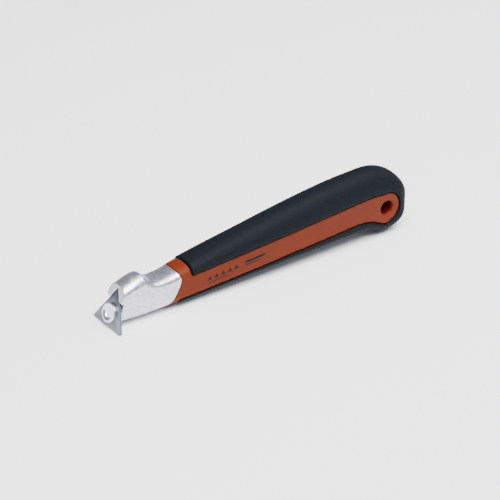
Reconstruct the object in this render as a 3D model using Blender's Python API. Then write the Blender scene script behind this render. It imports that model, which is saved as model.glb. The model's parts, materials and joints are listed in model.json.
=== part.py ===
"""Hand scraper with a triangular carbide blade clamped to a die-cast head.

The tool is modelled in its own axes, in millimetres: X runs from the nose to the butt, Y across,
Z up, and the zero point is the centre of the blade's front face. An empty named stance then sets
it on its blade edge and its pommel, with the zero point at the bottom centre of its box.
"""
from math import atan2, cos, pi, radians, sin, sqrt, tan

import bmesh
import bpy
from mathutils import Matrix, Vector

MM = 0.001
GAP = 0.3

# Blade: equilateral, leaning back so that its lower edge leads
BLADE_SIDE = 25.0
BLADE_THICK = 1.3
BLADE_HOLE = 5.6
BLADE_LEAN = radians(22.6)
BLADE_CORNER = 0.35

# Clamp screw, M5 x 6 with a wide low head
SCREW_SHANK = 5.0
SCREW_LENGTH = 6.0
SCREW_HEAD = 10.6
SCREW_HEAD_HIGH = 1.4
SCREW_HEAD_ROUND = 0.5
SCREW_TIP_CHAMFER = 0.7
SOCKET_FLATS = 5.0
SOCKET_MOUTH = 7.0
SOCKET_DEEP = 1.1

# Head casting
HEAD_FRONT = -8.0
HEAD_END = 40.0
HEAD_END_RAKE = 7.2
HEAD_END_LEAN = 2.4
HEAD_END_LEAN_FROM = 8.0
HEAD_END_LEAN_RISE = 6.0
HEAD_END_TOP = 12.0
HEAD_END_DROP = 15.4
ARCH_PROUD = 0.3
ARCH_WALL_FOOT = 7.0
BORE_DEEP = 4.6
CREASE = radians(16.0)
CREASE_END = 22.0
CREASE_FADE = 6.0
TANG_FRONT = 30.0
TANG_END = 140.0
TANG_WIDE = 8.0
TANG_HIGH = 11.0
TANG_CENTRE = 4.5
TANG_RISE = 0.045
TANG_TAPER = 0.8

# Handle
GRIP_FRONT = 46.7
STRIP_FRONT = 39.0
BUTT = 195.9
BUTT_HEIGHT = 5.0
BUTT_START = 168.0
POMMEL_LOW = 179.0
SIDE_END = 187.0
GRIP_PROUD = 0.6
GRIP_THICK = 2.4
CORE_FRONT = 33.0
HOLE_AT = (178.3, 5.6)
HOLE_WIDE = 8.2
PANEL_END = (177.6, 5.6)
PANEL_END_ROUND = 9.8

# A handle section is flat at the sides: these shares of its height round over above and below
ROUND_ABOVE = 0.6
ROUND_BELOW = 0.5
CROWN_POWER = ((-8.0, 2.3), (18.0, 2.3), (26.0, 3.1), (52.0, 3.1), (90.0, 2.3), (190.0, 2.3))
FOOT_POWER = 2.1
POMMEL_POWER = 2.0

# Spacing of the lofted sections, and how far a cutter runs past the piece it cuts
OUTER_SPACING = 8.0
INNER_SPACING = 14.0
BEYOND = 40.0

# Side profiles as (x, value) pairs, joined by smooth curves
HEAD_HALF_WIDTH = ((-8.0, 6.4), (2.0, 6.8), (41.0, 8.25))
HEAD_CROWN = ((-8.0, 10.4), (6.0, 14.9), (14.5, 17.5), (17.5, 17.8), (19.4, 16.6), (21.2, 14.2),
              (24.0, 12.4), (28.0, 11.7), (33.0, 12.0), (37.0, 12.9), (41.0, 14.0), (46.0, 14.8))
HEAD_SHOULDER = ((-8.0, 7.6), (3.9, 10.4), (16.0, 13.0), (17.5, 12.6), (19.4, 10.8), (23.2, 8.7),
                 (28.0, 7.7), (33.0, 7.3), (38.0, 8.2), (41.0, 9.2), (46.0, 9.6))
HEAD_BOTTOM = ((-8.0, -4.6), (0.0, -5.2), (8.0, -5.9), (20.0, -6.5), (33.0, -6.5), (46.0, -5.9))
GRIP_HALF_WIDTH = ((25.0, 8.1), (46.7, 9.2), (130.0, 10.5), (190.0, 10.5))
GRIP_TOP = ((25.0, 10.0), (41.0, 14.5), (46.7, 15.4), (66.7, 18.5), (97.0, 23.0), (115.0, 25.4),
            (135.0, 27.6), (152.0, 28.8), (168.0, 29.1))
GRIP_BOTTOM = ((25.0, -7.2), (39.0, -6.9), (46.7, -6.8), (85.0, -6.4), (137.0, -6.2), (158.0, -6.3),
               (165.0, -7.0), (170.0, -9.2), (175.0, -11.4), (179.0, -12.0))
PANEL_TOP = ((46.7, 9.8), (160.0, 15.8))
PANEL_FOOT = ((39.0, -3.4), (158.0, 1.2))
PANEL_WAIST = ((165.0, 0.4), (170.0, -1.3), (174.0, -3.4), (178.3, -5.2))
PANEL_BROW = ((172.0, 15.7), (165.0, 15.9))

# Finish of each piece: base colour (linear), metallic, roughness
FINISHES = {
    "die_cast_aluminium": ((0.60, 0.60, 0.64), 1.0, 0.38),
    "tungsten_carbide": ((0.24, 0.25, 0.28), 1.0, 0.35),
    "zinc_plated_steel": ((0.75, 0.76, 0.80), 1.0, 0.22),
    "orange_polypropylene": ((0.40, 0.085, 0.035), 0.0, 0.45),
    "black_soft_elastomer": ((0.014, 0.017, 0.021), 0.0, 0.62),
}


def remove_everything():
    for old in list(bpy.data.objects):
        bpy.data.objects.remove(old, do_unlink=True)


def smooth_curve(points):
    """Returns a function that runs smoothly through (x, value) pairs and never swings past them."""
    xs = [point[0] for point in points]
    values = [point[1] for point in points]
    steps = [(values[i + 1] - values[i]) / (xs[i + 1] - xs[i]) for i in range(len(xs) - 1)]
    slopes = [steps[0]]
    for before, after in zip(steps, steps[1:]):
        slopes.append(0.0 if before * after <= 0 else 2 * before * after / (before + after))
    slopes.append(steps[-1])

    def value_at(x):
        x = min(max(x, xs[0]), xs[-1])
        i = max(k for k in range(len(xs) - 1) if xs[k] <= x or k == 0)
        run = xs[i + 1] - xs[i]
        t = (x - xs[i]) / run
        return ((1 + 2 * t) * (1 - t) ** 2 * values[i] + t * (1 - t) ** 2 * run * slopes[i]
                + t * t * (3 - 2 * t) * values[i + 1] + t * t * (t - 1) * run * slopes[i + 1])
    return value_at


def line_through(ends, x):
    (x0, z0), (x1, z1) = ends
    return z0 + (z1 - z0) * (x - x0) / (x1 - x0)


head_half_width = smooth_curve(HEAD_HALF_WIDTH)
head_crown = smooth_curve(HEAD_CROWN)
crown_power = smooth_curve(CROWN_POWER)
head_shoulder = smooth_curve(HEAD_SHOULDER)
head_bottom = smooth_curve(HEAD_BOTTOM)
grip_half_width = smooth_curve(GRIP_HALF_WIDTH)
grip_top = smooth_curve(GRIP_TOP)
grip_bottom = smooth_curve(GRIP_BOTTOM)

def section(half_width, crown, shoulder, foot, bottom, power, crease=0.0, steps=(16, 12)):
    """Ring of (y, z): an arched crown, flat sides from shoulder to foot, and a rounded bottom."""
    top_steps, foot_steps = steps
    crease_rise = sin(crease) ** (2 / power)
    crease_reach = cos(crease) ** (2 / power)
    ring = []
    for step in range(top_steps + 1):
        angle = crease + (pi - 2 * crease) * step / top_steps
        reach = abs(cos(angle)) ** (2 / power) * (1 if angle < pi / 2 else -1) / crease_reach
        rise = (abs(sin(angle)) ** (2 / power) - crease_rise) / (1 - crease_rise)
        ring.append((half_width * reach, shoulder + (crown - shoulder) * rise))
    for step in range(foot_steps + 1):
        angle = pi * step / foot_steps
        reach = abs(cos(angle)) ** (2 / FOOT_POWER) * (-1 if angle < pi / 2 else 1)
        drop = abs(sin(angle)) ** (2 / FOOT_POWER)
        ring.append((half_width * reach, foot - (foot - bottom) * drop))
    return ring


def handle_ring(x, inset, steps):
    """Section of the handle, drawn in by inset from the outside of the rubber."""
    butt = BUTT - inset
    half_width = grip_half_width(x) - inset
    top = grip_top(x) - inset
    bottom = grip_bottom(x) + inset
    if x > BUTT_START:
        share = (x - BUTT_START) / (butt - BUTT_START)
        top = BUTT_HEIGHT + (top - BUTT_HEIGHT) * sqrt(1 - share ** 2)
    if x > POMMEL_LOW:
        share = (x - POMMEL_LOW) / (butt - POMMEL_LOW)
        bottom = BUTT_HEIGHT - (BUTT_HEIGHT - bottom) * (1 - share ** POMMEL_POWER) ** (1 / POMMEL_POWER)
    if x > SIDE_END:
        share = (x - SIDE_END) / (butt - SIDE_END)
        half_width *= sqrt(1 - share ** 2)
    shoulder = BUTT_HEIGHT + (1 - ROUND_ABOVE) * (top - BUTT_HEIGHT)
    foot = BUTT_HEIGHT - (1 - ROUND_BELOW) * (BUTT_HEIGHT - bottom)
    return section(half_width, top, shoulder, foot, bottom, crown_power(x), steps=steps)


def handle_stations(start, inset, spacing):
    """Places along the handle: even up to the butt, then closer and closer to its end."""
    places = []
    count = round((BUTT_START - start) / spacing)
    for i in range(count):
        places.append(start + (BUTT_START - start) * i / count)
    reach = BUTT - inset - BUTT_START
    for degrees in (0, 9, 17, 25, 34, 42, 50, 58, 66, 74, 81, 86):
        places.append(BUTT_START + reach * sin(radians(degrees)))
    return places


def new_object(name, mesh_maker, parent, smooth_over=None):
    """Makes an object from a bmesh in millimetres and hangs it on its parent."""
    made = mesh_maker()
    bmesh.ops.recalc_face_normals(made, faces=made.faces)
    bmesh.ops.scale(made, vec=(MM, MM, MM), verts=made.verts)
    mesh = bpy.data.meshes.new(name)
    made.to_mesh(mesh)
    made.free()
    if smooth_over is not None:
        mesh.shade_smooth()
        mesh.set_sharp_from_angle(angle=smooth_over)
    piece = bpy.data.objects.new(name, mesh)
    bpy.context.scene.collection.objects.link(piece)
    piece.parent = parent
    return piece


def loft(rings, pole=None):
    """Skins a row of (x, ring) sections, closed by a flat face or drawn to a point at the end."""
    made = bmesh.new()
    rows = [[made.verts.new((x, y, z)) for y, z in ring] for x, ring in rings]
    count = len(rows[0])
    for near, far in zip(rows, rows[1:]):
        for i in range(count):
            j = (i + 1) % count
            made.faces.new((near[i], near[j], far[j], far[i]))
    made.faces.new(rows[0])
    if pole is None:
        made.faces.new(list(reversed(rows[-1])))
    else:
        tip = made.verts.new(pole)
        for i in range(count):
            made.faces.new((rows[-1][i], rows[-1][(i + 1) % count], tip))
    bmesh.ops.remove_doubles(made, verts=made.verts, dist=1e-4)
    return made


def prism(outline, low, high, axis):
    """Extrudes a closed outline from low to high along Y (outline in x, z) or Z (in x, y)."""
    made = bmesh.new()
    if axis == "Y":
        corners = [(a, low, b) for a, b in outline]
        travel = (0, high - low, 0)
    else:
        corners = [(a, b, low) for a, b in outline]
        travel = (0, 0, high - low)
    face = made.faces.new([made.verts.new(corner) for corner in corners])
    grown = bmesh.ops.extrude_face_region(made, geom=[face])
    moved = [part for part in grown["geom"] if isinstance(part, bmesh.types.BMVert)]
    bmesh.ops.translate(made, vec=travel, verts=moved)
    return made


def turned(profile, segments):
    """Turns an (r, z) profile about Z; a point at r = 0 closes the shape there."""
    made = bmesh.new()
    rows = []
    for r, z in profile:
        if r == 0:
            rows.append([made.verts.new((0, 0, z))])
        else:
            turns = [2 * pi * i / segments for i in range(segments)]
            rows.append([made.verts.new((r * cos(a), r * sin(a), z)) for a in turns])
    pairs = list(zip(rows, rows[1:]))
    if len(rows[0]) > 1:
        pairs.append((rows[-1], rows[0]))
    for near, far in pairs:
        for i in range(segments):
            j = (i + 1) % segments
            corners = [near[i % len(near)], near[j % len(near)], far[j % len(far)], far[i % len(far)]]
            made.faces.new(list(dict.fromkeys(corners)))
    return made


def circle(centre, radius, segments, start=0.0, end=2 * pi):
    """Points on an arc; a full turn leaves out its last point, which is its first."""
    whole = abs(end - start - 2 * pi) < 1e-9
    steps = segments if whole else segments + 1
    angles = [start + (end - start) * i / segments for i in range(steps)]
    return [(centre[0] + radius * cos(a), centre[1] + radius * sin(a)) for a in angles]


def boolean(target, tool, operation="DIFFERENCE"):
    """Lets a hidden guide cut, join or trim a piece."""
    tool.hide_render = True
    tool.display_type = "WIRE"
    step = target.modifiers.new(f"{operation.lower()} {tool.name}", "BOOLEAN")
    step.operation = operation
    step.solver = "EXACT"
    step.object = tool


def finish(piece, name):
    colour, metallic, roughness = FINISHES[name]
    material = bpy.data.materials.get(name) or bpy.data.materials.new(name)
    material.use_nodes = True
    shader = material.node_tree.nodes["Principled BSDF"]
    shader.inputs["Base Color"].default_value = (*colour, 1.0)
    shader.inputs["Metallic"].default_value = metallic
    shader.inputs["Roughness"].default_value = roughness
    piece.data.materials.append(material)


# ---- places -------------------------------------------------------------------------------------

def make_stance():
    """The empty that stands the tool on the blade's rear lower edge and the pommel."""
    inradius = BLADE_SIDE / (2 * sqrt(3))
    edge_x = -inradius * sin(BLADE_LEAN) + BLADE_THICK * cos(BLADE_LEAN)
    edge_z = -inradius * cos(BLADE_LEAN) - BLADE_THICK * sin(BLADE_LEAN)
    pommel_z = GRIP_BOTTOM[-1][1]
    tilt = atan2(edge_z - pommel_z, POMMEL_LOW - edge_x)
    screw_top = GAP + SCREW_HEAD_HIGH
    screw_rim = SCREW_HEAD / 2 - SCREW_HEAD_ROUND
    nose_x = -screw_top * cos(BLADE_LEAN) - screw_rim * sin(BLADE_LEAN)
    turn = Matrix.Rotation(-tilt, 4, "Y")
    pommel = turn @ Vector((POMMEL_LOW, 0, pommel_z))
    nose = turn @ Vector((nose_x, 0, 0))
    butt = turn @ Vector((BUTT, 0, BUTT_HEIGHT))
    stance = bpy.data.objects.new("stance", None)
    bpy.context.scene.collection.objects.link(stance)
    stance.rotation_euler = (0, -tilt, 0)
    stance.location = Vector((-(nose.x + butt.x) / 2, 0, -pommel.z)) * MM
    return stance


def make_blade_axis(stance):
    """The empty on the blade's centre: its Z is the screw's axis, pointing out of the face."""
    axis = bpy.data.objects.new("blade_axis", None)
    bpy.context.scene.collection.objects.link(axis)
    across = Vector((0, -1, 0))
    upward = Vector((sin(BLADE_LEAN), 0, cos(BLADE_LEAN)))
    outward = Vector((-cos(BLADE_LEAN), 0, sin(BLADE_LEAN)))
    axis.rotation_euler = Matrix((across, upward, outward)).transposed().to_euler()
    axis.parent = stance
    return axis


# ---- blade and screw: drawn about the screw's axis ---------------------------------------------

def triangle(side, corner, steps=4):
    """Equilateral outline with one corner up and rounded corners."""
    outer = side / sqrt(3)
    points = []
    for middle in (90, 210, 330):
        centre_far = outer - 2 * corner
        centre = (centre_far * cos(radians(middle)), centre_far * sin(radians(middle)))
        points += circle(centre, corner, steps, radians(middle - 60), radians(middle + 60))
    return points


def make_blade(axis):
    blade = new_object("scraper_blade", lambda: prism(triangle(BLADE_SIDE, BLADE_CORNER),
                                                      -BLADE_THICK, 0, "Z"), axis)
    hole = new_object("blade_hole_cutter", lambda: prism(circle((0, 0), BLADE_HOLE / 2, 28),
                                                         -BLADE_THICK - 1, 1, "Z"), axis)
    boolean(blade, hole)
    finish(blade, "tungsten_carbide")


def make_screw(axis):
    """Low head screw: a rounded rim, a flat top and a hexagon socket with a chamfered mouth."""
    seat = GAP
    top = seat + SCREW_HEAD_HIGH
    rim = SCREW_HEAD / 2
    tip = seat - SCREW_LENGTH
    shank = SCREW_SHANK / 2
    centre = (rim - SCREW_HEAD_ROUND, top - SCREW_HEAD_ROUND)
    profile = [(0, top)]
    profile += reversed(circle(centre, SCREW_HEAD_ROUND, 4, 0, pi / 2))
    profile += [(rim, seat), (shank, seat), (shank, tip + SCREW_TIP_CHAMFER)]
    profile += [(shank - SCREW_TIP_CHAMFER, tip), (0, tip)]
    screw = new_object("clamp_screw", lambda: turned(profile, 36), axis, radians(35))
    corner = SOCKET_FLATS / sqrt(3)
    floor = top - SOCKET_DEEP
    mouth = SOCKET_MOUTH / 2
    hexagon = circle((0, 0), corner, 6)
    socket = new_object("socket_cutter", lambda: prism(hexagon, floor, top + 1, "Z"), axis)
    boolean(screw, socket)
    funnel = [(0, top + 1), (mouth + 1, top + 1), (mouth - 1, top - 1), (0, top - 1)]
    chamfer = new_object("mouth_cutter", lambda: turned(funnel, 36), axis)
    boolean(screw, chamfer)
    finish(screw, "zinc_plated_steel")


# ---- head casting --------------------------------------------------------------------------------

def head_loft():
    rings = []
    x = HEAD_FRONT
    while x <= HEAD_CROWN[-1][0]:
        shoulder = head_shoulder(x)
        bottom = head_bottom(x)
        foot = BUTT_HEIGHT - (1 - ROUND_BELOW) * (BUTT_HEIGHT - bottom)
        crease = CREASE * min(max((CREASE_END - x) / CREASE_FADE, 0.0), 1.0)
        rings.append((x, section(head_half_width(x), head_crown(x), shoulder, foot, bottom,
                                 crown_power(x), crease, (16, 12))))
        x += 1.0 if 13.0 < x < 26.0 else 2.0
    return loft(rings)


def head_end_at(z):
    """Where the casting stops and the collar begins: raked forward below, leaning forward above."""
    fall = max(HEAD_END_TOP - z, 0.0) / HEAD_END_DROP
    rise = min(max(z - HEAD_END_LEAN_FROM, 0.0), 8.0) / HEAD_END_LEAN_RISE
    return HEAD_END - HEAD_END_RAKE * fall ** 2 - HEAD_END_LEAN * rise ** 2


def head_end_outline(shift, back):
    """Everything behind (back=True) or in front of the casting's end, moved rearward by shift."""
    heights = [2.0 * i for i in range(-6, 9)] + [BEYOND]
    edge = [(head_end_at(z) + shift, z) for z in heights]
    far = HEAD_END + BEYOND if back else HEAD_FRONT - BEYOND
    return edge + [(far, heights[-1]), (far, heights[0])]


def tang_box(grow):
    """The casting's tail inside the handle; it narrows a little to its end."""
    front = TANG_FRONT - grow
    end = TANG_END + grow
    rings = []
    for x, share in ((front, 1.0), (end, TANG_TAPER)):
        y = TANG_WIDE / 2 * share + grow
        z = TANG_HIGH / 2 * share + grow
        middle = TANG_CENTRE + (x - front) * TANG_RISE
        rings.append((x, [(y, middle - z), (y, middle + z), (-y, middle + z), (-y, middle - z)]))
    return loft(rings)


def make_head(stance, axis):
    head = new_object("head_casting", head_loft, stance, radians(35))
    front = circle((0, 0), BEYOND, 4)
    face = new_object("front_cutter", lambda: prism(front, ARCH_PROUD, BEYOND, "Z"), axis)
    boolean(head, face)
    # the pocket: the blade's outline with room round it, open below the arch's walls
    clear = BLADE_SIDE / sqrt(3) + 2 * GAP
    foot_half = (clear - ARCH_WALL_FOOT) * tan(radians(30))
    below = ARCH_WALL_FOOT - 1
    pocket = [(0, clear), (-foot_half, ARCH_WALL_FOOT), (-BEYOND, below), (-BEYOND, -BEYOND),
              (BEYOND, -BEYOND), (BEYOND, below), (foot_half, ARCH_WALL_FOOT)]
    seat = -BLADE_THICK - GAP
    room = new_object("pocket_cutter", lambda: prism(pocket, seat, BEYOND + 1, "Z"), axis)
    boolean(head, room)
    bore_ring = circle((0, 0), SCREW_SHANK / 2 + GAP, 28)
    bore = new_object("bore_cutter", lambda: prism(bore_ring, seat - BORE_DEEP, 5, "Z"), axis)
    boolean(head, bore)
    rear = head_end_outline(0, True)
    end = new_object("head_end_cutter", lambda: prism(rear, -BEYOND, BEYOND, "Y"), stance)
    boolean(head, end)
    tang = new_object("tang_guide", lambda: tang_box(0), stance)
    boolean(head, tang, "UNION")
    finish(head, "die_cast_aluminium")


# ---- handle --------------------------------------------------------------------------------------

def orange_outline(inset):
    """Side view of all that shows orange: the collar, and the panel with its round end."""
    strip = STRIP_FRONT - inset
    front = GRIP_FRONT - inset
    middle = (PANEL_TOP[0][0] + PANEL_TOP[1][0]) / 2
    last = PANEL_FOOT[1][0]

    def foot(x):
        return line_through(PANEL_FOOT, x) + inset

    def top(x):
        return line_through(PANEL_TOP, x) - inset

    outline = [(0.0, -BEYOND), (strip, -BEYOND)]
    outline += [(x, foot(x)) for x in (strip, middle, last)]
    outline += [(x, z + inset) for x, z in PANEL_WAIST]
    outline += circle(PANEL_END, PANEL_END_ROUND - inset, 12, radians(-62), radians(88))
    outline += [(x, z - inset) for x, z in PANEL_BROW]
    outline += [(x, top(x)) for x in (last, middle, front)]
    outline += [(front, BEYOND), (0.0, BEYOND)]
    return outline


def make_handle_core(stance):
    inner = GRIP_THICK + GAP
    steps = (10, 8)

    def core_loft():
        places = handle_stations(CORE_FRONT, inner, INNER_SPACING)
        return loft([(x, handle_ring(x, inner, steps)) for x in places], (BUTT - inner, 0, BUTT_HEIGHT))

    def shell_loft():
        places = handle_stations(GRIP_TOP[0][0], GRIP_PROUD, OUTER_SPACING)
        rings = [(x, handle_ring(x, GRIP_PROUD, (16, 12))) for x in places]
        return loft(rings, (BUTT - GRIP_PROUD, 0, BUTT_HEIGHT))

    core = new_object("handle_core", core_loft, stance, radians(35))
    shell = new_object("orange_guide", shell_loft, stance, radians(35))
    panel = orange_outline(GAP)
    sides = new_object("side_guide", lambda: prism(panel, -BEYOND, BEYOND, "Y"), stance)
    boolean(shell, sides, "INTERSECT")
    boolean(core, shell, "UNION")
    collar_front = head_end_outline(GAP, False)
    front = new_object("collar_cutter", lambda: prism(collar_front, -BEYOND, BEYOND, "Y"), stance)
    boolean(core, front)
    socket = new_object("tang_cutter", lambda: tang_box(GAP), stance)
    boolean(core, socket)
    hole_ring = circle(HOLE_AT, HOLE_WIDE / 2, 28)
    hole = new_object("hang_cutter", lambda: prism(hole_ring, -BEYOND, BEYOND, "Y"), stance)
    boolean(core, hole)
    finish(core, "orange_polypropylene")


def make_grip(stance):
    def outside():
        places = handle_stations(CORE_FRONT, 0.0, OUTER_SPACING)
        return loft([(x, handle_ring(x, 0.0, (16, 12))) for x in places], (BUTT, 0, BUTT_HEIGHT))

    def inside():
        places = handle_stations(GRIP_TOP[0][0], GRIP_THICK, INNER_SPACING)
        rings = [(x, handle_ring(x, GRIP_THICK, (10, 8))) for x in places]
        return loft(rings, (BUTT - GRIP_THICK, 0, BUTT_HEIGHT))

    grip = new_object("rubber_grip", outside, stance, radians(35))
    hollow = new_object("grip_hollow_cutter", inside, stance)
    boolean(grip, hollow)
    opening = orange_outline(0.0)
    windows = new_object("window_cutter", lambda: prism(opening, -BEYOND, BEYOND, "Y"), stance)
    boolean(grip, windows)
    finish(grip, "black_soft_elastomer")


def main():
    remove_everything()
    stance = make_stance()
    axis = make_blade_axis(stance)
    make_blade(axis)
    make_screw(axis)
    make_head(stance, axis)
    make_handle_core(stance)
    make_grip(stance)


main()
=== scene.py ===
import json
from math import atan2, cos, pi, radians, sin, sqrt, tan

import bmesh
import bpy
from mathutils import Matrix, Vector


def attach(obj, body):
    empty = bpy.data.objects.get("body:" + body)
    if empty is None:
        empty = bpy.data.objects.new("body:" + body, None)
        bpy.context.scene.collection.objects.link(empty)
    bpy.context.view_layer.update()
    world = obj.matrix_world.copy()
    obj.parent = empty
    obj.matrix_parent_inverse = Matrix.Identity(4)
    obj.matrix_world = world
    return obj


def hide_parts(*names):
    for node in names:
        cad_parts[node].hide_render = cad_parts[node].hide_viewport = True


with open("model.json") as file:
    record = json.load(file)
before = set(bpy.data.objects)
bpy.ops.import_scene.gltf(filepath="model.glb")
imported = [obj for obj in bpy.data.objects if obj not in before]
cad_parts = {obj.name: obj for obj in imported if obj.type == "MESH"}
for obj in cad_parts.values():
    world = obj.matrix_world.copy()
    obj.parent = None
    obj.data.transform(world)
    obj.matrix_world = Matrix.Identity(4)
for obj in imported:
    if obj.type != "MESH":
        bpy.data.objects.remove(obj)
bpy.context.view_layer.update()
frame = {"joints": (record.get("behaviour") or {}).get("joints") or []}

# Shapes are drawn in millimetres along the tool: X from nose to butt, Y across, Z up, and zero at
# the centre of the blade's front face. The screw's joint says where that point is and how the tool lies.
bladeLean = radians(22.6)
screwJoint = next(joint for joint in frame["joints"] if joint["name"] == "screw_turn")
outward = Vector(screwJoint["axis"])
tilt = bladeLean - atan2(outward.z, -outward.x)
stance = Matrix.Translation(screwJoint["pos_m"]) @ Matrix.Rotation(-tilt, 4, "Y") @ Matrix.Scale(0.001, 4)
bladeAxes = Matrix(((0, -1, 0), (sin(bladeLean), 0, cos(bladeLean)), (-cos(bladeLean), 0, sin(bladeLean))))
bladePlace = stance @ bladeAxes.transposed().to_4x4()  # its Z is the screw's axis, out of the face


# Small makers for meshes

footPower = 2.1  # how square a section is below: 2 is round, more is squarer


def smoothCurve(points):
    # runs smoothly through (x, value) pairs and never swings past them
    xs = [point[0] for point in points]
    values = [point[1] for point in points]
    steps = [(values[i + 1] - values[i]) / (xs[i + 1] - xs[i]) for i in range(len(xs) - 1)]
    slopes = [steps[0]]
    for before, after in zip(steps, steps[1:]):
        slopes.append(0.0 if before * after <= 0 else 2 * before * after / (before + after))
    slopes.append(steps[-1])

    def valueAt(x):
        x = min(max(x, xs[0]), xs[-1])
        i = max(k for k in range(len(xs) - 1) if xs[k] <= x or k == 0)
        run = xs[i + 1] - xs[i]
        t = (x - xs[i]) / run
        return ((1 + 2 * t) * (1 - t) ** 2 * values[i] + t * (1 - t) ** 2 * run * slopes[i]
                + t * t * (3 - 2 * t) * values[i + 1] + t * t * (t - 1) * run * slopes[i + 1])
    return valueAt


def lineThrough(ends, x):
    (x0, z0), (x1, z1) = ends
    return z0 + (z1 - z0) * (x - x0) / (x1 - x0)


def section(halfWidth, crown, shoulder, foot, bottom, crownPower, crease=0.0, steps=(48, 36)):
    # ring of (y, z): an arched crown, flat sides from shoulder to foot, and a rounded bottom
    creaseRise = sin(crease) ** (2 / crownPower)
    creaseReach = cos(crease) ** (2 / crownPower)
    ring = []
    for step in range(steps[0] + 1):
        angle = crease + (pi - 2 * crease) * step / steps[0]
        reach = abs(cos(angle)) ** (2 / crownPower) * (1 if angle < pi / 2 else -1) / creaseReach
        rise = (abs(sin(angle)) ** (2 / crownPower) - creaseRise) / (1 - creaseRise)
        ring.append((halfWidth * reach, shoulder + (crown - shoulder) * rise))
    for step in range(steps[1] + 1):
        angle = pi * step / steps[1]
        reach = abs(cos(angle)) ** (2 / footPower) * (-1 if angle < pi / 2 else 1)
        ring.append((halfWidth * reach, foot - (foot - bottom) * abs(sin(angle)) ** (2 / footPower)))
    return ring


def loft(rings, pole=None):
    # skins a row of (x, ring) sections, closed by a flat face or drawn to a point at the end
    made = bmesh.new()
    rows = [[made.verts.new((x, y, z)) for y, z in ring] for x, ring in rings]
    count = len(rows[0])
    for near, far in zip(rows, rows[1:]):
        for i in range(count):
            j = (i + 1) % count
            made.faces.new((near[i], near[j], far[j], far[i]))
    made.faces.new(rows[0])
    if pole is None:
        made.faces.new(list(reversed(rows[-1])))
    else:
        tip = made.verts.new(pole)
        for i in range(count):
            made.faces.new((rows[-1][i], rows[-1][(i + 1) % count], tip))
    bmesh.ops.remove_doubles(made, verts=made.verts, dist=1e-4)
    return made


def prism(outline, low, high, axis):
    # extrudes a closed outline from low to high along Y (outline in x, z) or Z (in x, y)
    made = bmesh.new()
    if axis == "Y":
        corners = [(a, low, b) for a, b in outline]
        travel = (0, high - low, 0)
    else:
        corners = [(a, b, low) for a, b in outline]
        travel = (0, 0, high - low)
    face = made.faces.new([made.verts.new(corner) for corner in corners])
    grown = bmesh.ops.extrude_face_region(made, geom=[face])
    moved = [part for part in grown["geom"] if isinstance(part, bmesh.types.BMVert)]
    bmesh.ops.translate(made, vec=travel, verts=moved)
    return made


def turned(profile, segments):
    # turns an (r, z) profile about Z; a point at r = 0 closes the shape there
    made = bmesh.new()
    rows = []
    for r, z in profile:
        if r == 0:
            rows.append([made.verts.new((0, 0, z))])
        else:
            turns = [2 * pi * i / segments for i in range(segments)]
            rows.append([made.verts.new((r * cos(a), r * sin(a), z)) for a in turns])
    pairs = list(zip(rows, rows[1:]))
    if len(rows[0]) > 1:
        pairs.append((rows[-1], rows[0]))
    for near, far in pairs:
        for i in range(segments):
            j = (i + 1) % segments
            corners = [near[i % len(near)], near[j % len(near)], far[j % len(far)], far[i % len(far)]]
            made.faces.new(list(dict.fromkeys(corners)))
    return made


def circle(centre, radius, segments, start=0.0, end=2 * pi):
    # points on an arc; a full turn leaves out its last point, which is its first
    whole = abs(end - start - 2 * pi) < 1e-9
    angles = [start + (end - start) * i / segments for i in range(segments if whole else segments + 1)]
    return [(centre[0] + radius * cos(a), centre[1] + radius * sin(a)) for a in angles]


def objectFrom(made, name, place):
    # a mesh drawn in millimetres becomes an object with its place in its mesh
    bmesh.ops.recalc_face_normals(made, faces=made.faces)
    made.transform(place)
    mesh = bpy.data.meshes.new(name)
    made.to_mesh(mesh)
    made.free()
    piece = bpy.data.objects.new(name, mesh)
    bpy.context.scene.collection.objects.link(piece)
    return piece


def baked(piece, name):
    # what the modifiers make of a piece, as a plain mesh
    depsgraph = bpy.context.evaluated_depsgraph_get()
    mesh = bpy.data.meshes.new_from_object(piece.evaluated_get(depsgraph), depsgraph=depsgraph)
    mesh.name = name
    bpy.data.objects.remove(piece, do_unlink=True)
    result = bpy.data.objects.new(name, mesh)
    bpy.context.scene.collection.objects.link(result)
    return result


def carved(piece, name, steps):
    # cuts, trims or joins a piece with a row of (operation, tool) steps
    for operation, tool in steps:
        step = piece.modifiers.new(operation.lower(), "BOOLEAN")
        step.operation = operation
        step.solver = "EXACT"
        step.object = tool
    result = baked(piece, name)
    for operation, tool in steps:
        bpy.data.objects.remove(tool, do_unlink=True)
    return result


def softened(piece, name, grid, passes):
    # gives a carved piece an even skin whose edges are rounded over, as a mould leaves them
    skin = piece.modifiers.new("skin", "REMESH")
    skin.mode = "VOXEL"
    skin.voxel_size = grid * 0.001
    skin.use_smooth_shade = True
    ease = piece.modifiers.new("ease", "SMOOTH")
    ease.factor = 0.5
    ease.iterations = passes
    result = baked(piece, name)
    result.data.shade_smooth()
    return result


def bevelled(piece, name, width):
    # breaks the sharp edges of a simple piece
    step = piece.modifiers.new("bevel", "BEVEL")
    step.width = width * 0.001
    step.segments = 3
    step.limit_method = "ANGLE"
    step.angle_limit = radians(30)
    step.harden_normals = True
    result = baked(piece, name)
    result.data.shade_smooth()
    result.data.set_sharp_from_angle(angle=radians(50))
    return result


# Materials

def linear(hexColour):
    # sRGB hex to the linear colour that shaders use
    shares = [int(hexColour[i:i + 2], 16) / 255 for i in (1, 3, 5)]
    return (*[s / 12.92 if s <= 0.04045 else ((s + 0.055) / 1.055) ** 2.4 for s in shares], 1.0)


def addNode(tree, kind, settings=None, values=None, links=None):
    node = tree.nodes.new(kind)
    for name, value in (settings or {}).items():
        setattr(node, name, value)
    for socket, value in (values or {}).items():
        node.inputs[socket].default_value = value
    for socket, source in (links or {}).items():
        tree.links.new(source, node.inputs[socket])
    return node


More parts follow.
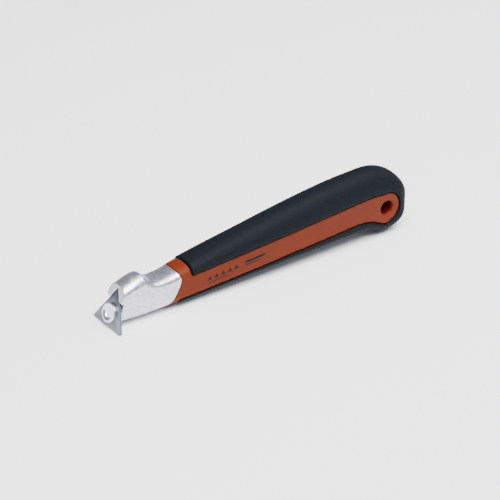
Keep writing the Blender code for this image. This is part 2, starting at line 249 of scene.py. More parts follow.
def newMaterial(name, shaderValues):
    material = bpy.data.materials.new(name)
    material.use_nodes = True
    tree = material.node_tree
    shader = tree.nodes["Principled BSDF"]
    for socket, value in shaderValues.items():
        shader.inputs[socket].default_value = value
    place = addNode(tree, "ShaderNodeTexCoord").outputs["Object"]
    return material, tree, shader, place


def makeDieCastAluminium():
    # Aluminium alloy, cast in a steel die and tumbled: pale grey with a soft sheen, faint flow marks,
    # a fine grain, and a painted highlight that makes the convex edges paler
    look = {"pale": "#CFCDD4", "dull": "#B4B3BC", "edge": "#EFEEF2", "flowMm": 1.6, "grainMm": 0.5,
            "grainDeepMm": 0.014, "smooth": 0.28, "rough": 0.40}
    material, tree, shader, place = newMaterial("dieCastAluminium", {"Metallic": 1.0})
    flow = addNode(tree, "ShaderNodeTexNoise", None, {"Scale": 1000 / look["flowMm"], "Detail": 4.0},
                   {"Vector": place})
    grain = addNode(tree, "ShaderNodeTexNoise", None, {"Scale": 1000 / look["grainMm"], "Detail": 2.0},
                    {"Vector": place})
    tone = addNode(tree, "ShaderNodeValToRGB", None, None, {"Fac": flow.outputs["Fac"]})
    tone.color_ramp.elements[0].position = 0.35
    tone.color_ramp.elements[0].color = linear(look["dull"])
    tone.color_ramp.elements[1].position = 0.65
    tone.color_ramp.elements[1].color = linear(look["pale"])
    # painted highlight: convex edges, found by pointiness, are mixed towards the pale edge colour
    shape = addNode(tree, "ShaderNodeNewGeometry")
    paintedEdgeHighlight = addNode(tree, "ShaderNodeMapRange", None, {"From Min": 0.51, "From Max": 0.57},
                   {"Value": shape.outputs["Pointiness"]})
    colour = addNode(tree, "ShaderNodeMix", {"data_type": "RGBA"}, {7: linear(look["edge"])},
                     {0: paintedEdgeHighlight.outputs[0], 6: tone.outputs["Color"]})
    sheen = addNode(tree, "ShaderNodeMapRange", None,
                    {"From Min": 0.3, "From Max": 0.7, "To Min": look["smooth"], "To Max": look["rough"]},
                    {"Value": flow.outputs["Fac"]})
    bump = addNode(tree, "ShaderNodeBump", None,
                   {"Strength": 0.6, "Distance": look["grainDeepMm"] * 0.001},
                   {"Height": grain.outputs["Fac"]})
    tree.links.new(colour.outputs[2], shader.inputs["Base Color"])
    tree.links.new(sheen.outputs[0], shader.inputs["Roughness"])
    tree.links.new(bump.outputs[0], shader.inputs["Normal"])
    return material


def makeGroundCarbide():
    # Tungsten carbide, sintered and ground on its faces: a darker, bluer grey than steel, with fine
    # parallel grinding lines, and painted shade that darkens it towards the corner under the arch, where the
    # arch shades it.
    # The lines are drawn coarser than the wheel's, so that they show
    look = {"base": "#8B8D95", "deep": "#7A7D86", "archShade": "#B4B8C2", "archShadeFromMm": 9.0,
            "archShadeToMm": 16.0, "lineMm": 0.22, "lineLongMm": 14.0, "lineDeepMm": 0.004,
            "smooth": 0.42, "rough": 0.52}
    material, tree, shader, place = newMaterial("groundTungstenCarbide", {"Metallic": 1.0})
    along = addNode(tree, "ShaderNodeMapping", None,
                    {"Rotation": (0, -bladeLean + tilt, 0),
                     "Scale": (1000 / look["lineLongMm"], 1000 / look["lineLongMm"], 1000 / look["lineMm"])},
                    {"Vector": place})
    lines = addNode(tree, "ShaderNodeTexNoise", None, {"Scale": 1.0, "Detail": 3.0},
                    {"Vector": along.outputs[0]})
    tone = addNode(tree, "ShaderNodeValToRGB", None, None, {"Fac": lines.outputs["Fac"]})
    tone.color_ramp.elements[0].position = 0.3
    tone.color_ramp.elements[0].color = linear(look["deep"])
    tone.color_ramp.elements[1].position = 0.7
    tone.color_ramp.elements[1].color = linear(look["base"])
    sheen = addNode(tree, "ShaderNodeMapRange", None,
                    {"From Min": 0.3, "From Max": 0.7, "To Min": look["smooth"], "To Max": look["rough"]},
                    {"Value": lines.outputs["Fac"]})
    bump = addNode(tree, "ShaderNodeBump", None,
                   {"Strength": 0.5, "Distance": look["lineDeepMm"] * 0.001},
                   {"Height": lines.outputs["Fac"]})
    # painted shade: the colour is multiplied darker with height, up to the blade's top corner under the arch
    height = addNode(tree, "ShaderNodeSeparateXYZ", None, None, {0: place})
    share = addNode(tree, "ShaderNodeMapRange", {"interpolation_type": "SMOOTHSTEP"},
                    {"From Min": look["archShadeFromMm"] * 0.001, "From Max": look["archShadeToMm"] * 0.001},
                    {"Value": height.outputs["Z"]})
    colour = addNode(tree, "ShaderNodeMix", {"data_type": "RGBA", "blend_type": "MULTIPLY"},
                     {7: linear(look["archShade"])}, {0: share.outputs[0], 6: tone.outputs["Color"]})
    tree.links.new(colour.outputs[2], shader.inputs["Base Color"])
    tree.links.new(sheen.outputs[0], shader.inputs["Roughness"])
    tree.links.new(bump.outputs[0], shader.inputs["Normal"])
    return material


def makeZincPlatedSteel():
    # Turned steel, bright zinc plated: almost white with a cool tint, and faint rings from the lathe
    look = {"base": "#ECEEF4", "cool": "#CDD2E0", "ringMm": 3.77, "ringDeepMm": 0.002, "cloudMm": 2.5,
            "roughness": 0.2}
    material, tree, shader, place = newMaterial("brightZincPlatedSteel",
                                                {"Metallic": 1.0, "Roughness": look["roughness"]})
    centred = addNode(tree, "ShaderNodeVectorMath", {"operation": "SUBTRACT"},
                      {1: tuple(screwJoint["pos_m"])}, {0: place})
    upright = addNode(tree, "ShaderNodeMapping", None, {"Rotation": (0, pi / 2 - bladeLean + tilt, 0)},
                      {"Vector": centred.outputs[0]})
    rings = addNode(tree, "ShaderNodeTexWave",
                    {"wave_type": "RINGS", "rings_direction": "Z", "wave_profile": "SIN"},
                    {"Scale": 100 * pi / look["ringMm"], "Distortion": 0.3}, {"Vector": upright.outputs[0]})
    cloud = addNode(tree, "ShaderNodeTexNoise", None, {"Scale": 1000 / look["cloudMm"], "Detail": 2.0},
                    {"Vector": place})
    colour = addNode(tree, "ShaderNodeMix", {"data_type": "RGBA"},
                     {6: linear(look["base"]), 7: linear(look["cool"])}, {0: cloud.outputs["Fac"]})
    bump = addNode(tree, "ShaderNodeBump", None,
                   {"Strength": 0.15, "Distance": look["ringDeepMm"] * 0.001},
                   {"Height": rings.outputs["Fac"]})
    tree.links.new(colour.outputs[2], shader.inputs["Base Color"])
    tree.links.new(bump.outputs[0], shader.inputs["Normal"])
    return material


def makeMoulded(name, look):
    # A moulded plastic or rubber: one colour that drifts a little, and the grain of a sparked mould
    material, tree, shader, place = newMaterial(name, {"IOR": look["ior"],
                                                       "Specular IOR Level": look["specular"]})
    drift = addNode(tree, "ShaderNodeTexNoise", None, {"Scale": 1000 / look["driftMm"], "Detail": 3.0},
                    {"Vector": place})
    grain = addNode(tree, "ShaderNodeTexNoise", None, {"Scale": 1000 / look["grainMm"], "Detail": 2.0},
                    {"Vector": place})
    tone = addNode(tree, "ShaderNodeValToRGB", None, None, {"Fac": drift.outputs["Fac"]})
    tone.color_ramp.elements[0].position = 0.3
    tone.color_ramp.elements[0].color = linear(look["deep"])
    tone.color_ramp.elements[1].position = 0.7
    tone.color_ramp.elements[1].color = linear(look["base"])
    sheen = addNode(tree, "ShaderNodeMapRange", None,
                    {"From Min": 0.3, "From Max": 0.7, "To Min": look["smooth"], "To Max": look["rough"]},
                    {"Value": grain.outputs["Fac"]})
    bump = addNode(tree, "ShaderNodeBump", None,
                   {"Strength": 0.6, "Distance": look["grainDeepMm"] * 0.001},
                   {"Height": grain.outputs["Fac"]})
    colour = tone.outputs["Color"]
    if "bore" in look:
        # painted shade: the wall of the hanging hole is painted a deeper red from just below its mouth,
        # where the hole is in shade
        centre = stance @ Vector((holeAt[0], 0, holeAt[1]))
        offset = addNode(tree, "ShaderNodeVectorMath", {"operation": "SUBTRACT"}, {1: tuple(centre)},
                         {0: place})
        parts = addNode(tree, "ShaderNodeSeparateXYZ", None, None, {0: offset.outputs[0]})
        flat = addNode(tree, "ShaderNodeCombineXYZ", None, None,
                       {"X": parts.outputs["X"], "Z": parts.outputs["Z"]})
        away = addNode(tree, "ShaderNodeVectorMath", {"operation": "LENGTH"}, None, {0: flat.outputs[0]})
        inBore = addNode(tree, "ShaderNodeMapRange", None,
                         {"From Min": look["boreOutMm"] * 0.001, "From Max": look["boreInMm"] * 0.001},
                         {"Value": away.outputs["Value"]})
        depth = addNode(tree, "ShaderNodeMath", {"operation": "ABSOLUTE"}, None, {0: parts.outputs["Y"]})
        deep = addNode(tree, "ShaderNodeMapRange", None,
                       {"From Min": look["mouthMm"] * 0.001, "From Max": look["deepMm"] * 0.001},
                       {"Value": depth.outputs[0]})
        boreShadeShare = addNode(tree, "ShaderNodeMath", {"operation": "MULTIPLY"}, None,
                       {0: inBore.outputs[0], 1: deep.outputs[0]})
        boreShaded = addNode(tree, "ShaderNodeMix", {"data_type": "RGBA"}, {7: linear(look["bore"])},
                        {0: boreShadeShare.outputs[0], 6: colour})
        colour = boreShaded.outputs[2]
    tree.links.new(colour, shader.inputs["Base Color"])
    tree.links.new(sheen.outputs[0], shader.inputs["Roughness"])
    tree.links.new(bump.outputs[0], shader.inputs["Normal"])
    return material


holeAt = (178.3, 5.6)  # the hanging hole's centre, along the tool

# Polypropylene, injection moulded: an even brick orange with a satin face, and painted shade of deeper red
# inside the hanging hole
orangePlastic = {"base": "#5A1F07", "deep": "#541C06", "bore": "#4A0808", "boreInMm": 4.2, "boreOutMm": 4.6,
                 "mouthMm": 9.6, "deepMm": 7.8, "driftMm": 25.0, "grainMm": 0.4, "grainDeepMm": 0.012,
                 "smooth": 0.44, "rough": 0.54, "ior": 1.49, "specular": 0.1}
# Styrene elastomer, moulded over the core: blue black and matt, with a fine skin like grain
softRubber = {"base": "#0A1016", "deep": "#06090D", "driftMm": 1.1, "grainMm": 0.5,
              "grainDeepMm": 0.035, "smooth": 0.60, "rough": 0.74, "ior": 1.5, "specular": 0.09}
# Pad printing ink: a thin film of very dark brown, a little glossier than the plastic under it
padInk = {"base": "#120A09", "deep": "#0D0706", "driftMm": 4.0, "grainMm": 0.3, "grainDeepMm": 0.004,
          "smooth": 0.40, "rough": 0.48, "ior": 1.5, "specular": 0.1}

aluminium = makeDieCastAluminium()
carbide = makeGroundCarbide()
zinc = makeZincPlatedSteel()
plastic = makeMoulded("mouldedOrangePolypropylene", orangePlastic)
rubber = makeMoulded("mouldedBlackElastomer", softRubber)
ink = makeMoulded("padPrintedInk", padInk)
print("materials ready")


def settle(piece, body, material, node=None):
    # gives a finished piece its material and its body, and hides the CAD node that it stands for
    piece.data.materials.clear()
    piece.data.materials.append(material)
    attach(piece, body)
    if node:
        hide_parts(node)


# Blade: equilateral, flat and ground, with a hole for the screw

blade = {"side": 25.0, "thick": 1.3, "seatRoom": 0.24, "hole": 5.6, "corner": 0.3, "edgeBreak": 0.05}


def triangle(side, corner, steps=8):
    # equilateral outline with one corner up and rounded corners
    outer = side / sqrt(3)
    points = []
    for middle in (90, 210, 330):
        far = outer - 2 * corner
        centre = (far * cos(radians(middle)), far * sin(radians(middle)))
        points += circle(centre, corner, steps, radians(middle - 60), radians(middle + 60))
    return points


bladeBack = -blade["thick"] - blade["seatRoom"]  # the real blade lies on its seat
bladeFlat = prism(triangle(blade["side"], blade["corner"]), bladeBack, 0, "Z")
screwHole = prism(circle((0, 0), blade["hole"] / 2, 64), bladeBack - 1, 1, "Z")
scraperBlade = carved(objectFrom(bladeFlat, "bladeFlat", bladePlace), "bladeCut",
                      [("DIFFERENCE", objectFrom(screwHole, "screwHole", bladePlace))])
scraperBlade = bevelled(scraperBlade, "scraperBlade", blade["edgeBreak"])
settle(scraperBlade, "blade", carbide, "scraper_blade")
print("blade ready")

# Clamp screw: a wide low head with a hexagon socket, and a thread on its shank

screw = {"head": 10.6, "headTop": 1.7, "underHead": 0.06, "round": 0.5, "shank": 4.1, "thread": 5.0,
         "tip": -5.7, "tipRound": 0.5, "pitch": 0.8, "turns": 5.0, "threadStart": 0.9, "threadFoot": 0.08,
         "flats": 5.0, "mouth": 7.0, "socketDeep": 1.1, "drillDeep": 0.15, "socketTurn": radians(15),
         "rimBreak": 0.15, "mouthBreak": (0.12, 0.06), "hexBreak": (0.08, 0.06), "floorBreak": 0.1}


def threadTree():
    # a ridge wound along a helix: the sizes come in as named inputs
    tree = bpy.data.node_groups.new("threadRidge", "GeometryNodeTree")
    inputs = [("Radius", "NodeSocketFloat"), ("Turns", "NodeSocketFloat"), ("Height", "NodeSocketFloat"),
              ("Ridge", "NodeSocketFloat"), ("Material", "NodeSocketMaterial")]
    for name, kind in inputs:
        tree.interface.new_socket(name, in_out="INPUT", socket_type=kind)
    tree.interface.new_socket("Geometry", in_out="OUTPUT", socket_type="NodeSocketGeometry")
    given = addNode(tree, "NodeGroupInput").outputs
    helix = addNode(tree, "GeometryNodeCurveSpiral", None, {"Resolution": 48},
                    {"Rotations": given["Turns"], "Start Radius": given["Radius"],
                     "End Radius": given["Radius"], "Height": given["Height"]})
    upright = addNode(tree, "GeometryNodeSetCurveNormal", {"mode": "Z_UP"}, None,
                      {"Curve": helix.outputs[0]})
    ridge = addNode(tree, "GeometryNodeCurvePrimitiveCircle", {"mode": "RADIUS"}, {"Resolution": 6},
                    {"Radius": given["Ridge"]})
    swept = addNode(tree, "GeometryNodeCurveToMesh", None, {"Fill Caps": True},
                    {"Curve": upright.outputs[0], "Profile Curve": ridge.outputs[0]})
    whole = addNode(tree, "GeometryNodeRealizeInstances", None, None, {0: swept.outputs[0]})
    dressed = addNode(tree, "GeometryNodeSetMaterial", None, None,
                      {"Geometry": whole.outputs[0], "Material": given["Material"]})
    addNode(tree, "NodeGroupOutput", None, None, {0: dressed.outputs[0]})
    return tree


def threadPiece(tree, name, sizes, lift):
    # winds one thread in millimetres and sets it on the blade's axis
    carrier = bpy.data.objects.new(name, bpy.data.meshes.new(name))
    bpy.context.scene.collection.objects.link(carrier)
    maker = carrier.modifiers.new("thread", "NODES")
    maker.node_group = tree
    for item in tree.interface.items_tree:
        if item.in_out == "INPUT":
            maker[item.identifier] = sizes[item.name]
    wound = baked(carrier, name)
    cleaned = bmesh.new()
    cleaned.from_mesh(wound.data)
    bmesh.ops.remove_doubles(cleaned, verts=cleaned.verts, dist=1e-5)
    bmesh.ops.recalc_face_normals(cleaned, faces=cleaned.faces)
    cleaned.transform(bladePlace @ Matrix.Translation((0, 0, lift)))
    cleaned.to_mesh(wound.data)
    cleaned.free()
    wound.data.shade_smooth()
    wound.data.set_sharp_from_angle(angle=radians(35))
    return wound


def hexReach(angle):
    # how far the socket's flats lie from the screw's axis in one direction
    return screw["flats"] / 2 / cos((angle - screw["socketTurn"]) % (pi / 3) - pi / 6)


def screwRing(angle):
    # (r, z) from the tip up the shank, round the head, over its face and down into the hexagon socket
    core = screw["shank"] / 2
    rim = screw["head"] / 2
    top = screw["headTop"]
    under = screw["underHead"]
    mouth = screw["mouth"] / 2
    flat = hexReach(angle)
    slope = top - (mouth - flat)
    floor = top - screw["socketDeep"]
    points = [(core - screw["tipRound"], screw["tip"]), (core, screw["tip"] + screw["tipRound"]),
              (core, under), (rim - screw["rimBreak"], under), (rim, under + screw["rimBreak"])]
    points += circle((rim - screw["round"], top - screw["round"]), screw["round"], 10, 0, pi / 2)
    points += [(mouth + screw["mouthBreak"][0], top), (mouth, top - screw["mouthBreak"][1])]
    points += [(flat + screw["hexBreak"][0], slope + screw["hexBreak"][0])]
    points += [(flat, slope - screw["hexBreak"][1]), (flat, floor)]
    points += [(screw["flats"] / 2 - screw["floorBreak"], floor)]
    return points


def screwShape():
    sides = 96
    made = bmesh.new()
    angles = [screw["socketTurn"] + 2 * pi * i / sides for i in range(sides)]
    columns = [[made.verts.new((r * cos(a), r * sin(a), z)) for r, z in screwRing(a)] for a in angles]
    rows = list(zip(*columns))
    for near, far in zip(rows, rows[1:]):
        for i in range(sides):
            j = (i + 1) % sides
            made.faces.new((near[i], near[j], far[j], far[i]))
    drillPoint = screw["headTop"] - screw["socketDeep"] - screw["drillDeep"]
    for row, z in ((rows[0], screw["tip"]), (rows[-1], drillPoint)):
        tip = made.verts.new((0, 0, z))
        for i in range(sides):
            made.faces.new((row[i], row[(i + 1) % sides], tip))
    return made


clampScrew = objectFrom(screwShape(), "clampScrew", bladePlace)
clampScrew.data.shade_smooth()
clampScrew.data.set_sharp_from_angle(angle=radians(28))
settle(clampScrew, "screw", zinc, "clamp_screw")

threads = threadTree()
threadFoot = screw["shank"] / 2 + screw["threadFoot"]
screwThread = threadPiece(threads, "screwThread",
                          {"Radius": threadFoot, "Turns": screw["turns"],
                           "Height": screw["turns"] * screw["pitch"],
                           "Ridge": screw["thread"] / 2 - threadFoot, "Material": zinc},
                          screw["tip"] + screw["threadStart"])
settle(screwThread, "screw", zinc, "clamp_screw")
print("screw ready")

# Head casting: a rounded nose with a blade seat, an arch over the blade's top corner and a thumb saddle

head = {"front": -8.0, "end": 40.0, "rake": 7.2, "lean": 2.2, "leanFrom": 8.0, "leanRise": 6.0,
        "leanHigh": 8.0, "endTop": 12.0, "endDrop": 15.4, "archProud": 0.3, "archFoot": 8.0, "archEnd": 7.6,
        "pocketRoom": 0.4, "seatBack": 0.3, "boreDeep": 4.6, "bore": 5.6, "threadTurns": 4.0,
        "threadStart": -5.6, "threadRidge": 0.16, "endRoom": 0.1, "grid": 0.24, "passes": 5, "beyond": 40.0,
        "crease": radians(16.0), "creaseEnd": 22.0, "creaseFade": 6.0, "middle": 5.0, "footShare": 0.5,
        "sections": 109, "spacing": 0.5}
tang = {"front": 30.0, "end": 140.0, "wide": 8.0, "high": 11.0, "centre": 4.5, "rise": 0.045, "taper": 0.8,
        "edge": 0.6}

# how square the crown is along the tool: rounder at the nose and on the grip, squarer at the saddle
crownPowers = smoothCurve(((-8.0, 2.3), (18.0, 2.3), (25.0, 3.0), (32.0, 3.0), (39.0, 2.5), (52.0, 2.6),
                           (90.0, 2.3), (190.0, 2.3)))
headHalfWidth = smoothCurve(((-8.0, 6.4), (2.0, 6.8), (41.0, 8.25)))
headCrown = smoothCurve(((-8.0, 10.4), (6.0, 14.9), (14.5, 17.5), (17.5, 17.8), (19.4, 16.6),
                         (21.2, 14.2), (24.0, 12.4), (28.0, 11.7), (33.0, 12.0), (37.0, 12.9),
                         (41.0, 14.0), (46.0, 14.8)))
headShoulder = smoothCurve(((-8.0, 7.6), (3.9, 10.4), (16.0, 13.0), (17.5, 12.6), (19.4, 10.8),
                            (23.2, 8.7), (28.0, 7.7), (33.0, 7.3), (38.0, 8.2), (41.0, 9.2),
                            (46.0, 9.6)))
headBottom = smoothCurve(((-8.0, -4.6), (0.0, -5.2), (8.0, -5.9), (20.0, -6.5), (33.0, -6.5),
                          (46.0, -5.9)))


def headRings():
    rings = []
    for i in range(head["sections"]):
        x = head["front"] + head["spacing"] * i
        bottom = headBottom(x)
        foot = head["middle"] - (1 - head["footShare"]) * (head["middle"] - bottom)
        crease = head["crease"] * min(max((head["creaseEnd"] - x) / head["creaseFade"], 0.0), 1.0)
        rings.append((x, section(headHalfWidth(x), headCrown(x), headShoulder(x), foot, bottom,
                                 crownPowers(x), crease)))
    return rings


def headEndOutline(shift, back):
    # everything behind, or in front of, the casting's end, which leans forward above and below
    heights = [0.5 * i for i in range(-24, 33)] + [head["beyond"]]
    edge = []
    for z in heights:
        fall = max(head["endTop"] - z, 0.0) / head["endDrop"]
        rise = min(max(z - head["leanFrom"], 0.0), head["leanHigh"]) / head["leanRise"]
        edge.append((head["end"] - head["rake"] * fall ** 2 - head["lean"] * rise ** 2 + shift, z))
    far = head["end"] + head["beyond"] if back else head["front"] - head["beyond"]
    return edge + [(far, heights[-1]), (far, heights[0])]


def tangBox(grow):
    # the casting's tail inside the handle; it narrows a little to its end
    rings = []
    for x, share in ((tang["front"] - grow, 1.0), (tang["end"] + grow, tang["taper"])):
        y = tang["wide"] / 2 * share + grow
        z = tang["high"] / 2 * share + grow
        middle = tang["centre"] + (x - tang["front"] + grow) * tang["rise"]
        rings.append((x, [(y, middle - z), (y, middle + z), (-y, middle + z), (-y, middle - z)]))
    return loft(rings)


def headTools():
    far = head["beyond"]
    clear = blade["side"] / sqrt(3) + head["pocketRoom"]
    footHalf = (clear - head["archFoot"]) * tan(radians(30))
    wide = headHalfWidth(0.0)
    pocket = [(0, clear), (-footHalf, head["archFoot"]), (-wide, head["archEnd"]), (-far, head["archEnd"]),
              (-far, -far), (far, -far), (far, head["archEnd"]), (wide, head["archEnd"]),
              (footHalf, head["archFoot"])]
    seat = -blade["thick"] - head["seatBack"]
    bore = circle((0, 0), head["bore"] / 2, 48)
    end = headEndOutline(head["endRoom"], True)
    shapes = [("faceCut", prism(circle((0, 0), far, 4), head["archProud"], far, "Z"), bladePlace),
              ("pocketCut", prism(pocket, seat, far + 1, "Z"), bladePlace),
              ("boreCut", prism(bore, seat - head["boreDeep"], 5, "Z"), bladePlace),
              ("endCut", prism(end, -far, far, "Y"), stance)]
    return [("DIFFERENCE", objectFrom(made, name, place)) for name, made, place in shapes]


headBlank = objectFrom(loft(headRings()), "headBlank", stance)
headCasting = carved(headBlank, "headCut", headTools())
headCasting = softened(headCasting, "headCasting", head["grid"], head["passes"])
settle(headCasting, "handle", aluminium, "head_casting")
headTang = bevelled(objectFrom(tangBox(0.0), "tangBlank", stance), "headTang", tang["edge"])
settle(headTang, "handle", aluminium, "head_casting")
tappedHole = threadPiece(threads, "tappedHole",
                         {"Radius": head["bore"] / 2 - 0.02, "Turns": head["threadTurns"],
                          "Height": head["threadTurns"] * screw["pitch"],
                          "Ridge": head["threadRidge"], "Material": aluminium}, head["threadStart"])
settle(tappedHole, "handle", aluminium, "head_casting")
print("head ready")

# Handle: an orange core that shows as a collar and as a panel on each side, with a hanging hole

handle = {"butt": 195.9, "middle": 5.0, "roundStart": 168.0, "pommelLow": 179.0, "sideEnd": 187.0,
          "pommelPower": 2.0, "roundAbove": 0.6, "roundBelow": 0.5, "gripFront": 46.7, "stripFront": 39.0,
          "proud": 0.6, "thick": 2.4, "gap": 0.3, "ledgeWide": 0.5, "ledgeDeep": 0.8, "ledgeOverlap": 0.15,
          "panelRoom": 0.1, "headRoom": 0.2, "panelEnd": (177.6, 5.6), "panelEndRound": 9.8,
          "hole": holeAt, "holeWide": 8.2, "holeRim": 0.7, "coreFront": 33.0, "shellFront": 25.0,
          "coarse": 6.0, "close": 2.0, "coreGrid": 0.47, "gripGrid": 0.49, "passes": 4, "beyond": 40.0}

gripHalfWidth = smoothCurve(((25.0, 8.1), (46.7, 9.2), (130.0, 10.5), (190.0, 10.5)))
gripTop = smoothCurve(((25.0, 10.0), (41.0, 14.5), (46.7, 15.4), (66.7, 18.5), (97.0, 23.0),
                       (115.0, 25.4), (135.0, 27.6), (152.0, 28.8), (168.0, 29.1)))
gripBottom = smoothCurve(((25.0, -7.2), (39.0, -6.9), (46.7, -6.8), (85.0, -6.4), (137.0, -6.2),
                          (158.0, -6.3), (165.0, -7.0), (170.0, -9.2), (175.0, -11.4), (179.0, -12.0)))
panelTop = ((46.7, 9.8), (160.0, 15.8))
panelFoot = ((39.0, -3.4), (158.0, 1.2))
panelWaist = ((165.0, 0.4), (170.0, -1.3), (174.0, -3.4), (178.3, -5.2))
panelBrow = ((172.0, 15.7), (165.0, 15.9))


def handleRing(x, inset, steps):
    # section of the handle, drawn in by inset from the outside of the rubber
    butt = handle["butt"] - inset
    middle = handle["middle"]
    halfWidth = gripHalfWidth(x) - inset
    top = gripTop(x) - inset
    bottom = gripBottom(x) + inset
    if x > handle["roundStart"]:
        share = (x - handle["roundStart"]) / (butt - handle["roundStart"])
        top = middle + (top - middle) * sqrt(1 - share ** 2)
    if x > handle["pommelLow"]:
        share = (x - handle["pommelLow"]) / (butt - handle["pommelLow"])
        power = handle["pommelPower"]
        bottom = middle - (middle - bottom) * (1 - share ** power) ** (1 / power)
    if x > handle["sideEnd"]:
        share = (x - handle["sideEnd"]) / (butt - handle["sideEnd"])
        halfWidth *= sqrt(1 - share ** 2)
    shoulder = middle + (1 - handle["roundAbove"]) * (top - middle)
    foot = middle - (1 - handle["roundBelow"]) * (middle - bottom)
    return section(halfWidth, top, shoulder, foot, bottom, crownPowers(x), 0.0, steps)


def handleLoft(front, inset, spacing, steps):
    # even sections up to the butt, then closer and closer to its end
    start = handle["roundStart"]
    count = round((start - front) / spacing)
    places = [front + (start - front) * i / count for i in range(count)]
    reach = handle["butt"] - inset - start
    places += [start + reach * sin(radians(3 * i)) for i in range(30)]
    rings = [(x, handleRing(x, inset, steps)) for x in places]
    return loft(rings, (handle["butt"] - inset, 0, handle["middle"]))


def orangeOutline(inset):
    # side view of all that shows orange: the collar, and the panel with its round end
    strip = handle["stripFront"] - inset
    front = handle["gripFront"] - inset
    far = handle["beyond"]
    last = panelFoot[1][0]
    waist = smoothCurve(((last, lineThrough(panelFoot, last)),) + panelWaist)
    brow = smoothCurve(((last, lineThrough(panelTop, last)),) + tuple(reversed(panelBrow)))
    outline = [(0.0, -far), (strip, -far)]
    outline += [(x, lineThrough(panelFoot, x) + inset) for x in (strip, last)]
    outline += [(last + i, waist(last + i) + inset) for i in range(1, 21)]
    outline += circle(handle["panelEnd"], handle["panelEndRound"] - inset, 48, radians(-60), radians(98))
    outline += [(last + i, brow(last + i) - inset) for i in range(14, 0, -1)]
    corner = Vector((front, lineThrough(panelTop, front) - inset))
    outline += [(last, lineThrough(panelTop, last) - inset)]
    outline += [(corner.x + 1.0, lineThrough(panelTop, corner.x + 1.0) - inset),
                (corner.x + 0.3, corner.y - 0.1), (corner.x, corner.y + 0.3), (corner.x, corner.y + 1.0)]
    outline += [(front, far), (0.0, far)]
    return outline


def handleBlank(name, front, inset, shown):
    # a solid handle: close sections for a face that shows, coarse ones for one that stays inside
    spacing = handle["close"] if shown else handle["coarse"]
    steps = (48, 36) if shown else (20, 16)
    return objectFrom(handleLoft(front, inset, spacing, steps), name, stance)


def sideCutter(name, outline):
    # a side view pushed right through the handle
    return objectFrom(prism(outline, -handle["beyond"], handle["beyond"], "Y"), name, stance)


def holeCutter():
    # the hanging hole, flared where it meets each panel
    far = handle["beyond"]
    rim = handle["holeWide"] / 2
    mouth = gripHalfWidth(handle["hole"][0]) - handle["proud"] - handle["holeRim"]
    outline = [(0, -far), (rim + far - mouth, -far), (rim, -mouth), (rim, mouth), (rim + far - mouth, far),
               (0, far)]
    place = Matrix.Translation((handle["hole"][0], 0, handle["hole"][1])) @ Matrix.Rotation(pi / 2, 4, "X")
    return objectFrom(turned(outline, 64), "holeCut", stance @ place)


def makeHandleCore():
    core = handleBlank("coreBlank", handle["coreFront"], handle["thick"] + handle["gap"], False)
    shell = handleBlank("orangeShell", handle["shellFront"], handle["proud"], True)
    sides = sideCutter("orangeSides", orangeOutline(handle["ledgeWide"] + handle["panelRoom"]))
    shell = carved(shell, "orangeShell", [("INTERSECT", sides)])
    room = handle["headRoom"]
    steps = [("UNION", shell),
             ("DIFFERENCE", sideCutter("collarCut", headEndOutline(room, False))),
             ("DIFFERENCE", objectFrom(tangBox(room), "tangCut", stance)),
             ("DIFFERENCE", holeCutter())]
    return softened(carved(core, "coreCut", steps), "handleCore", handle["coreGrid"], handle["passes"])


def gripLayer(name, outside, inside, inset):
    # one layer of the grip, from outside to inside, with the panels' outline cut out of it
    layer = handleBlank(name, handle["coreFront"], outside, True)
    hollow = handleBlank(name + "Hollow", handle["shellFront"], inside, False)
    window = sideCutter(name + "Window", orangeOutline(inset))
    return carved(layer, name, [("DIFFERENCE", hollow), ("DIFFERENCE", window)])


def makeRubberGrip():
    # the sleeve, and a thinner ledge within it that runs a little further in, under the joint groove
    sleeve = gripLayer("sleeve", 0.0, handle["thick"], 0.0)
    ledge = gripLayer("ledge", handle["ledgeDeep"], handle["thick"] - handle["ledgeOverlap"],
                      handle["ledgeWide"])
    grip = carved(sleeve, "gripCut", [("UNION", ledge)])
    return softened(grip, "rubberGrip", handle["gripGrid"], handle["passes"])


handleCore = makeHandleCore()
settle(handleCore, "handle", plastic, "handle_core")
print("core ready")
rubberGrip = makeRubberGrip()
settle(rubberGrip, "handle", rubber, "rubber_grip")
print("grip ready")

# Pad print on the panels: a row of triangular blade signs and three plain bars, with no lettering

padPrint = {"start": 56.0, "foot": 2.9, "high": 2.5, "slope": 0.05, "film": 0.03, "buried": 0.25,
            "signs": 5, "signWide": 3.0, "signStep": 4.3,
            "bars": ((24.5, 37.5, 0.9, 1.5), (24.5, 35.0, -0.6, 0.5), (1.0, 13.0, -1.7, 0.5))}


def printMark(outline, side):
    # a thin film of ink that lies on the panel
    made = prism(outline, 0.0, 1.0, "Y")
    bmesh.ops.triangulate(made, faces=made.faces)
    for corner in made.verts:
        surface = gripHalfWidth(corner.co.x) - handle["proud"]
        corner.co.y = side * (surface + (padPrint["film"] if corner.co.y > 0.5 else -padPrint["buried"]))
        corner.co.z += (corner.co.x - padPrint["start"]) * padPrint["slope"]
    return made


def printOutlines():
    # each bar is (left, right, foot, height), measured from the first sign's lower left corner
    start = padPrint["start"]
    foot = padPrint["foot"]
    high = padPrint["high"]
    wide = padPrint["signWide"]
    marks = []
    for i in range(padPrint["signs"]):
        left = start + padPrint["signStep"] * i
        marks.append([(left, foot), (left + wide, foot), (left + wide / 2, foot + high)])
    for left, right, low, bar in padPrint["bars"]:
        marks.append([(start + left, foot + low), (start + right, foot + low),
                      (start + right, foot + low + bar), (start + left, foot + low + bar)])
    return marks


for side, sideName in ((-1, "Near"), (1, "Far")):
    film = bmesh.new()
    for outline in printOutlines():
        one = printMark(outline, side)
        scrap = bpy.data.meshes.new("mark")
        one.to_mesh(scrap)
        one.free()
        film.from_mesh(scrap)
        bpy.data.meshes.remove(scrap)
    mark = objectFrom(film, "panelPrint" + sideName, stance)
    settle(mark, "handle", ink)
print("print ready")

# Stage: a plain pale floor, a soft sky, two large soft lights and the camera

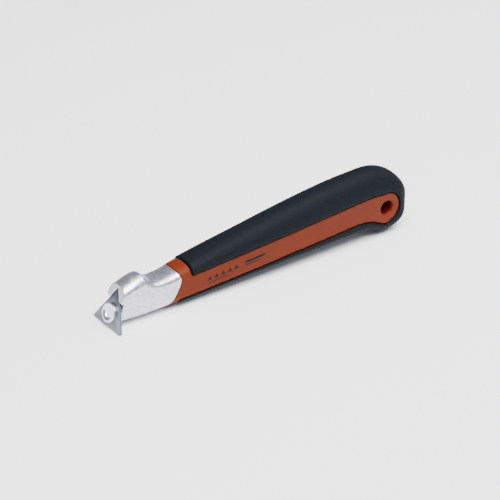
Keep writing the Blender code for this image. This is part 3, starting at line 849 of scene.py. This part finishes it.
studio = {"floor": "#F4F4F4", "floorCloud": "#EFEFF0", "floorHalf": 3.0, "floorBelow": 0.0002,
          "skyNear": "#C8CBD1", "skyFar": "#969CA6", "skyPower": 1.1, "farSide": (-0.45, 0.88, 0.1),
          "azimuth": radians(-36.8), "elevation": radians(31.1), "distance": 1200.0, "lens": 166.3,
          "aside": -72.5, "below": -32.5}
lights = [{"name": "overhead", "from": (-0.3, -0.7, 1.7), "size": 1.2, "power": 100.0},
          {"name": "nearSoftbox", "from": (0.75, -0.2, 1.4), "size": 1.1, "power": 32.0}]


def makeFloor():
    half = studio["floorHalf"]
    corners = ((-half, -half), (half, -half), (half, half), (-half, half))
    made = bmesh.new()
    made.faces.new([made.verts.new((x, y, -studio["floorBelow"])) for x, y in corners])
    floor = objectFrom(made, "floor", Matrix.Identity(4))
    material, tree, shader, place = newMaterial("mattPaint", {"Roughness": 0.9, "Specular IOR Level": 0.1})
    cloud = addNode(tree, "ShaderNodeTexNoise", None, {"Scale": 3.0}, {"Vector": place})
    colour = addNode(tree, "ShaderNodeMix", {"data_type": "RGBA"},
                     {6: linear(studio["floor"]), 7: linear(studio["floorCloud"])},
                     {0: cloud.outputs["Fac"]})
    tree.links.new(colour.outputs[2], shader.inputs["Base Color"])
    floor.data.materials.append(material)


def makeSky():
    world = bpy.data.worlds.new("softSky")
    bpy.context.scene.world = world
    world.use_nodes = True
    tree = world.node_tree
    place = addNode(tree, "ShaderNodeTexCoord").outputs["Generated"]
    depth = addNode(tree, "ShaderNodeVectorMath", {"operation": "DOT_PRODUCT"}, {1: studio["farSide"]},
                    {0: place})
    share = addNode(tree, "ShaderNodeMapRange", None, {"From Min": -0.5, "From Max": 0.7},
                    {"Value": depth.outputs["Value"]})
    tone = addNode(tree, "ShaderNodeMix", {"data_type": "RGBA"},
                   {6: linear(studio["skyNear"]), 7: linear(studio["skyFar"])}, {0: share.outputs[0]})
    background = tree.nodes["Background"]
    tree.links.new(tone.outputs[2], background.inputs["Color"])
    background.inputs["Strength"].default_value = studio["skyPower"]


def makeLights():
    for settings in lights:
        data = bpy.data.lights.new(settings["name"], "AREA")
        data.shape = "SQUARE"
        data.size = settings["size"]
        data.energy = settings["power"]
        lamp = bpy.data.objects.new(settings["name"], data)
        bpy.context.scene.collection.objects.link(lamp)
        lamp.location = settings["from"]
        lamp.rotation_euler = (-lamp.location).to_track_quat("-Z", "Y").to_euler()


def makeCamera():
    # set against the tool's own axes: the blade's centre lies left of and below the middle of the view
    a = studio["azimuth"]
    e = studio["elevation"]
    back = Vector((sin(a) * cos(e), -cos(a) * cos(e), sin(e)))
    right = Vector((cos(a), sin(a), 0))
    up = back.cross(right)
    seat = back * studio["distance"] - right * studio["aside"] - up * studio["below"]
    turn = stance.to_3x3().normalized() @ Matrix((right, up, back)).transposed()
    data = bpy.data.cameras.new("camera")
    data.sensor_width = 36.0
    data.lens = studio["lens"]
    data.clip_end = 20.0
    camera = bpy.data.objects.new("camera", data)
    bpy.context.scene.collection.objects.link(camera)
    camera.matrix_world = Matrix.Translation(stance @ seat) @ turn.to_4x4()
    bpy.context.scene.camera = camera


makeFloor()
makeSky()
makeLights()
makeCamera()
print("stage ready")
